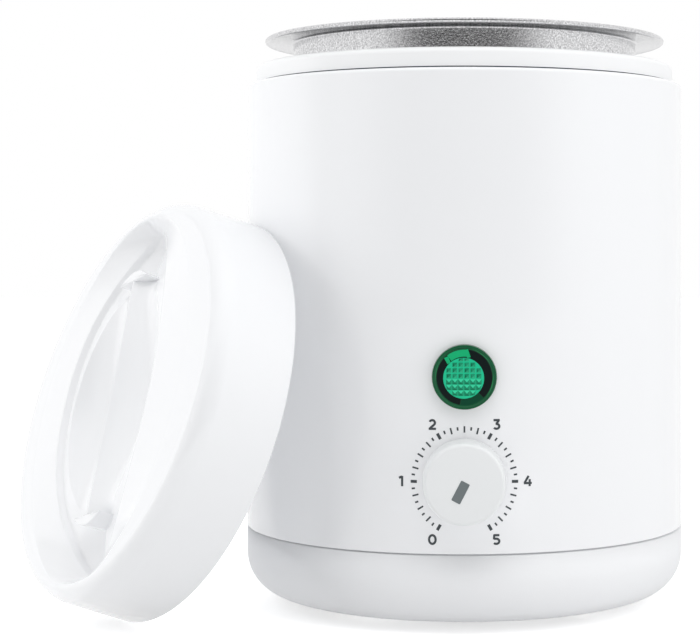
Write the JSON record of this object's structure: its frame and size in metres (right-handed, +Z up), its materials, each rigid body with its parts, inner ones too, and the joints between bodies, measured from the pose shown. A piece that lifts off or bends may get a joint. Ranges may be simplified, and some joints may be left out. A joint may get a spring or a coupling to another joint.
{
  "type": "candle wax melter",
  "caption": "Round electric wax melter: a lift-out metal pot in a heated casing with a thermostat dial, an indicator lamp and a loose lid with finger scoops.",
  "frame": {"origin": "on the table under the casing, on the axis of the round casing", "axes": "+Z up along the casing's axis, -Y towards the user and the control knob, +Y towards the cord's inlet, +X to the user's right"},
  "size_m": [0.1699, 0.1353, 0.1438],
  "materials": {
    "gloss_white": "gloss",
    "matte_white": "matte",
    "collar_white": "satin",
    "lid_white": "satin",
    "knob_white": "satin",
    "pointer_grey": "matte",
    "green_lens": "ribbed",
    "clear_glass": "clear",
    "dark_plastic": "matte",
    "block_plastic": "matte",
    "pot_aluminium": "satin",
    "well_aluminium": "mill",
    "band_steel": "brushed",
    "screw_steel": "zinc plated",
    "brass": "plain",
    "copper": "plain",
    "insulation": "fibrous",
    "rubber": "matte",
    "lead_brown": "matte",
    "lead_blue": "matte",
    "lead_green": "matte"
  },
  "bodies": {
    "casing": {"base_pan": "matte_white", "rubber_feet": "rubber", "base_screws": "screw_steel", "outer_shell": "gloss_white", "top_collar": "collar_white", "collar_screws": "screw_steel", "heating_well": "well_aluminium", "well_screws": "screw_steel", "heater_band": "band_steel", "band_bolt": "screw_steel", "band_nut": "screw_steel", "heater_tabs": "brass", "insulation_sleeve": "insulation", "sensor_bulb": "copper", "capillary_tube": "copper", "thermal_fuse": "band_steel", "clamp_plate": "band_steel", "earth_tag": "brass", "stud_nut": "screw_steel", "thermostat_bracket": "band_steel", "bracket_screws": "screw_steel", "thermostat_body": "block_plastic", "thermostat_bushing": "brass", "thermostat_nut": "screw_steel", "thermostat_tabs": "brass", "lamp_lens": "green_lens", "lamp_body": "dark_plastic", "neon_bulb": "clear_glass", "lamp_tabs": "brass", "lamp_clip": "band_steel", "terminal_block": "block_plastic", "pole_screws": "brass", "block_screws": "screw_steel", "inlet_bush": "dark_plastic", "live_lead": "lead_brown", "fuse_lead": "lead_brown", "heater_lead": "lead_brown", "return_lead": "lead_blue", "earth_lead": "lead_green", "lamp_leads": "lead_blue"},
    "knob": {"control_knob": "knob_white", "knob_pointer": "pointer_grey", "knob_spring": "band_steel", "thermostat_spindle": "band_steel"},
    "pot": {"wax_pot": "pot_aluminium"},
    "loose_lid": {"lid": "lid_white"}
  },
  "joints": [
    {"name": "knob_turn", "type": "hinge", "parent": "casing", "child": "knob", "pos_m": [0, -0.0566, 0.0368], "axis": [0, 1, 0], "range_deg": [0, 300]},
    {"name": "pot_lift", "type": "slide", "parent": "casing", "child": "pot", "axis": [0, 0, 1], "range_m": [0, 0.09]},
    {"name": "lid_lift", "type": "slide", "parent": "casing", "child": "loose_lid", "axis": [0, 0, 1], "range_m": [0, 0.12]}
  ]
}
